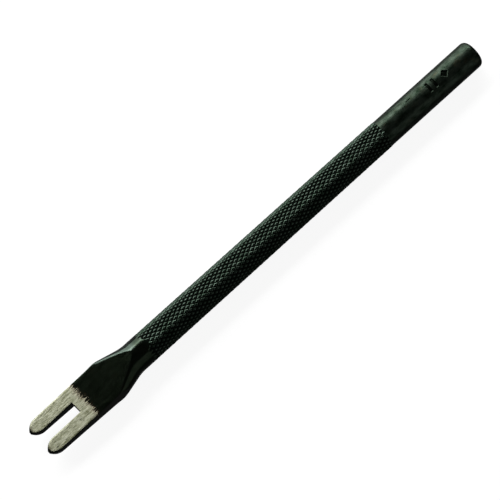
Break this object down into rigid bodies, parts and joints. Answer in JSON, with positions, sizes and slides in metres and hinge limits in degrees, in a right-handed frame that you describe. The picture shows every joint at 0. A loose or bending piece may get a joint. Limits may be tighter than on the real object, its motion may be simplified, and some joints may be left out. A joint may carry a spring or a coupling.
{
  "type": "pricking iron",
  "caption": "Hand punch for leather: knurled round steel bar that is struck at one end and flattens into a slotted fork of flat pointed prongs at the other.",
  "frame": {"origin": "under the middle of the tool's length and width, on the surface it lies on; the bar's axis is 4.12 mm above it", "axes": "+X along the bar from the prong tips to the struck end, +Y across the blade towards the left prong, +Z square to the blade's broad faces"},
  "size_m": [0.1496, 0.0112, 0.0082],
  "materials": {
    "black_oxide": "blackened steel, satin, slightly mottled and faintly green",
    "knurled_black_oxide": "blackened steel with a rolled diamond knurl, crests rubbed a little brighter",
    "ground_steel": "bright steel ground lengthwise on the broad faces, blackened on the edges and in the slot"
  },
  "bodies": {
    "root": {"striking_head": "black_oxide", "plain_shank": "black_oxide", "knurled_grip": "knurled_black_oxide", "neck": "black_oxide", "blade": "black_oxide", "fork_web": "ground_steel", "left_prong": "ground_steel", "right_prong": "ground_steel"}
  },
  "joints": []
}
